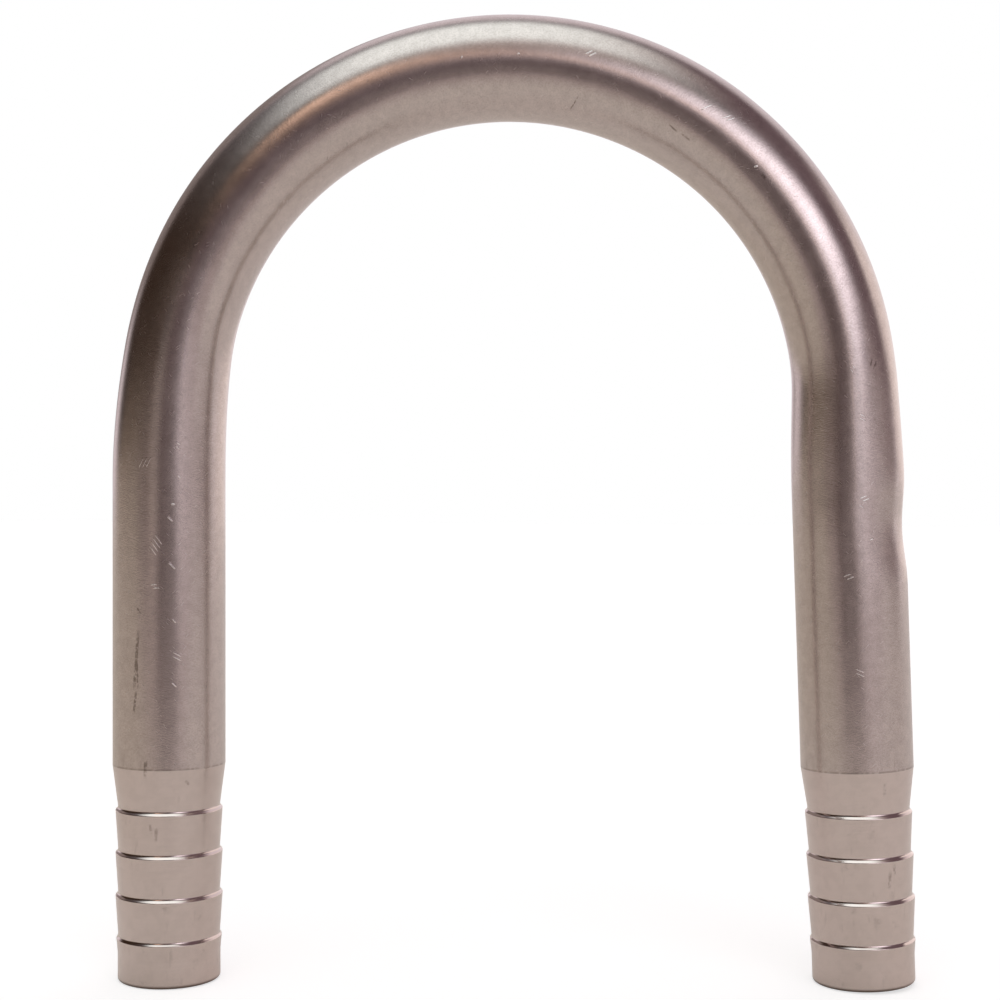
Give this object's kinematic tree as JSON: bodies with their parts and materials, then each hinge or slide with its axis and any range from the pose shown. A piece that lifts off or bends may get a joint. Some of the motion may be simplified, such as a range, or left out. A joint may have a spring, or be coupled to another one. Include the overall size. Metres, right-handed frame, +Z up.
{
  "type": "u-bend tube",
  "caption": "Steel tube bent through half a turn into a U, with barbed hose tails turned into both of its ends.",
  "frame": {"origin": "on the floor under the middle of the outer box, between the two cut ends that it stands on", "axes": "+Z up from the cut ends to the top of the bend, +X from the left leg to the right leg, +Y across the plane of the U, away from the picture's camera"},
  "size_m": [0.0918, 0.0128, 0.11],
  "materials": {
    "tube_steel": "satin, handled, with fine scuffs"
  },
  "bodies": {
    "root": {"u_bend_tube": "tube_steel"}
  },
  "joints": []
}
